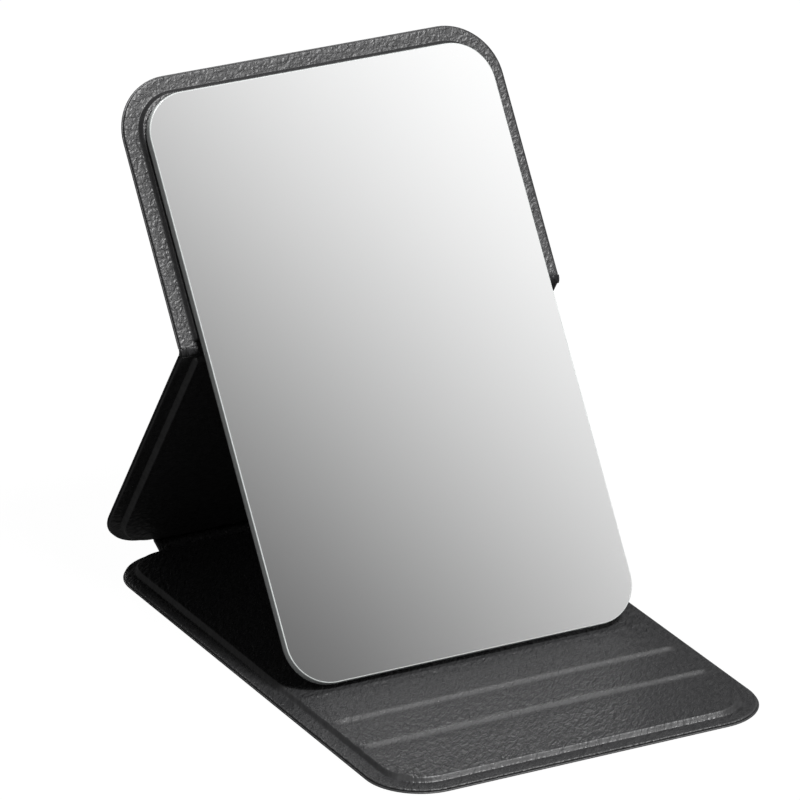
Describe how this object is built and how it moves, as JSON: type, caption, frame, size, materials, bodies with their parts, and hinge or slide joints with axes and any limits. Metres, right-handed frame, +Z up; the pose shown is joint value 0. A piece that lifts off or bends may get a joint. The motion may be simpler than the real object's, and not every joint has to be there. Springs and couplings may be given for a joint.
{
  "type": "countertop mirror",
  "caption": "Folding rectangular mirror in a flat padded case that opens into a triangular stand, its lower edge resting on a ridged base.",
  "frame": {"origin": "under the middle of the opened stand, on the table plane at its underside", "axes": "+Z up; the glass and the base's free edge face -Y, the hinged back edge is at +Y; +X runs across the case"},
  "size_m": [0.126, 0.1922, 0.1571],
  "materials": {
    "outer_leather": "fine grained, semi matt",
    "lining_leather": "fine grained, semi matt",
    "greyboard": "matt fibre board",
    "foam_tape": "matt foam",
    "backing_film": "matt",
    "mirror_glass": "polished"
  },
  "bodies": {
    "base": {"base_outer_skin": "outer_leather", "base_board": "greyboard", "base_lining": "lining_leather", "base_stop_strip_1": "greyboard", "base_stop_strip_2": "greyboard", "base_stop_strip_3": "greyboard"},
    "spine": {"spine_outer_skin": "outer_leather", "spine_lining": "lining_leather"},
    "leg": {"leg_outer_skin": "outer_leather", "leg_board": "greyboard", "leg_lining": "lining_leather"},
    "carrier": {"carrier_outer_skin": "outer_leather", "carrier_board": "greyboard", "carrier_lining": "lining_leather", "mirror_tape_1": "foam_tape", "mirror_tape_2": "foam_tape", "mirror_tape_3": "foam_tape", "mirror_tape_4": "foam_tape", "mirror_backing_film": "backing_film", "mirror_silvering": "mirror_glass", "mirror_glass": "mirror_glass"}
  },
  "joints": [
    {"name": "cover_hinge", "type": "hinge", "parent": "base", "child": "spine", "pos_m": [0, 0.09109, 0.00065], "axis": [1, 0, 0], "range_deg": [-90, 0]},
    {"name": "leg_hinge", "type": "hinge", "parent": "spine", "child": "leg", "pos_m": [0, 0.09615, 0.0034], "axis": [1, 0, 0], "range_deg": [-33.5, 13.5]},
    {"name": "back_crease", "type": "hinge", "parent": "leg", "child": "carrier", "pos_m": [0, 0.03652, 0.08865], "axis": [1, 0, 0], "range_deg": [-27, 67]}
  ],
  "couplings": [
    {"joint": "back_crease", "follows": "leg_hinge", "ratio": -2}
  ]
}
